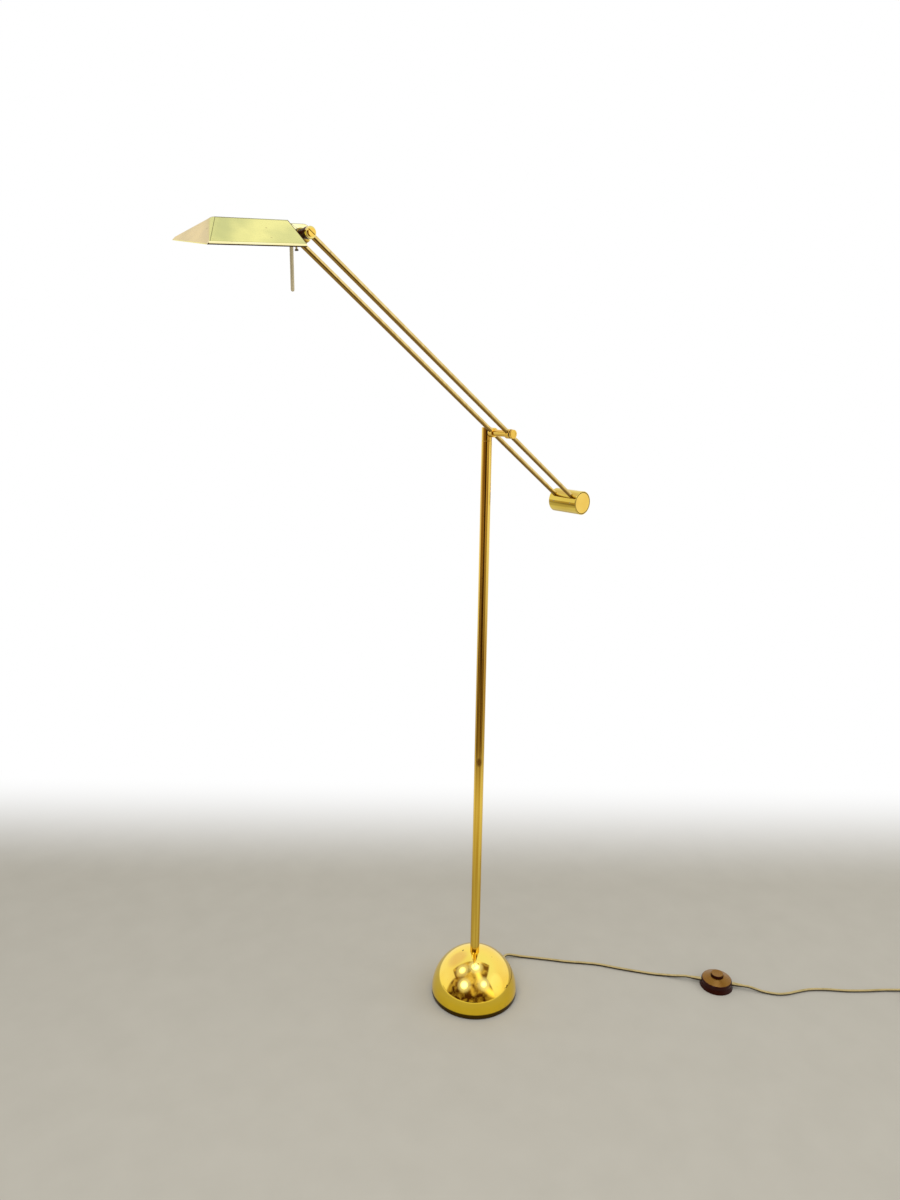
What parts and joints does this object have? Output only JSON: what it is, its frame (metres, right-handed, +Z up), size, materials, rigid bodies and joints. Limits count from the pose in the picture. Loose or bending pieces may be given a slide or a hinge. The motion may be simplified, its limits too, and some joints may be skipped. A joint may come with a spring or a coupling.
{
  "type": "floor_lamp",
  "caption": "Counterbalance floor lamp in polished brass: dome foot, pole, swivelling two-rod arm with cylinder counterweight, small folded shade, grab handle, foot switch, cord",
  "frame": {"origin": "Centre of the foot's underside, on the floor", "axes": "+Z up along the pole, -X towards the shade, +X towards the counterweight, -Y from the pole out along the axle to the clamp knob"},
  "size_m": [1.324, 0.7742, 1.3918],
  "materials": {
    "polished_brass": "polished, lightly tarnished",
    "plain_steel": "zinc plated",
    "ballast_iron": "as cast",
    "transformer_winding": "wound copper under tape",
    "black_felt": "felt",
    "black_plastic": "satin",
    "brown_plastic": "gloss",
    "pale_plastic": "matte",
    "cord_jacket": "satin",
    "lead_sleeve": "satin",
    "holder_ceramic": "unglazed",
    "bulb_glass": "clear"
  },
  "bodies": {
    "stand": {"base_felt": "black_felt", "base_plate": "plain_steel", "base_screws": "plain_steel", "base_shell": "polished_brass", "ballast": "ballast_iron", "transformer": "transformer_winding", "clamp_dish": "plain_steel", "spacer_tube": "plain_steel", "tie_rod": "plain_steel", "tie_nut": "plain_steel", "cord_gland": "cord_jacket", "pole_foot_plug": "polished_brass", "pole_tube": "polished_brass", "pole_top_bush": "polished_brass", "pole_lead": "lead_sleeve", "swivel_washer": "black_plastic", "switch_base": "brown_plastic", "switch_cover": "brown_plastic", "switch_mechanism": "pale_plastic", "switch_screws": "plain_steel", "switch_reliefs": "cord_jacket", "cord_base_run": "cord_jacket", "cord_plug_run": "cord_jacket", "cord_coil": "cord_jacket", "cord_tail": "cord_jacket", "cord_tie": "black_plastic", "plug_body": "black_plastic", "plug_pins": "polished_brass"},
    "swivel": {"swivel_collar": "polished_brass", "swivel_stud": "plain_steel", "swivel_clip": "plain_steel", "axle": "polished_brass", "axle_grub": "plain_steel"},
    "arm": {"friction_washers": "black_plastic", "hub_far": "polished_brass", "hub_near": "polished_brass", "hub_spacer": "polished_brass", "upper_rod_far": "polished_brass", "upper_rod_near": "polished_brass", "lower_rod_far": "polished_brass", "lower_rod_near": "polished_brass", "head_hub_far": "polished_brass", "head_hub_near": "polished_brass", "head_axle": "polished_brass", "counterweight": "polished_brass", "counterweight_caps": "polished_brass", "counterweight_grubs": "plain_steel"},
    "clamp": {"clamp_knob": "polished_brass"},
    "neck": {"neck_block": "polished_brass", "neck_bushes": "black_plastic", "neck_screw": "black_plastic", "shade_stem": "plain_steel", "stem_nut": "plain_steel", "lampholder": "holder_ceramic", "bulb": "bulb_glass", "bulb_pins": "plain_steel", "handle_rod": "polished_brass"},
    "shade": {"shade_shell": "polished_brass", "shade_rear_plate": "polished_brass"},
    "button": {"switch_button": "brown_plastic"}
  },
  "joints": [
    {"name": "swivel_turn", "type": "hinge", "parent": "stand", "child": "swivel", "pos_m": [0, 0, 1.0898], "axis": [0, 0, 1], "range_deg": [-170, 170]},
    {"name": "arm_tilt", "type": "hinge", "parent": "swivel", "child": "arm", "pos_m": [0, -0.0339, 1.104], "axis": [0, 1, 0], "range_deg": [-75, 40]},
    {"name": "clamp_turn", "type": "hinge", "parent": "swivel", "child": "clamp", "pos_m": [0, -0.0617, 1.104], "axis": [0, -1, 0], "range_deg": [-90, 90]},
    {"name": "shade_tilt", "type": "hinge", "parent": "arm", "child": "neck", "pos_m": [-0.38263, -0.0339, 1.37693], "axis": [0, 1, 0], "range_deg": [-60, 75]},
    {"name": "shade_turn", "type": "hinge", "parent": "neck", "child": "shade", "pos_m": [-0.40308, -0.0339, 1.3755], "axis": [-0.9976, 0, -0.0698], "range_deg": [-40, 50]},
    {"name": "button_press", "type": "slide", "parent": "stand", "child": "button", "axis": [0, 0, -1], "range_m": [0, 0.003], "stiffness_N_per_m": 300, "springref_m": -0.002}
  ]
}
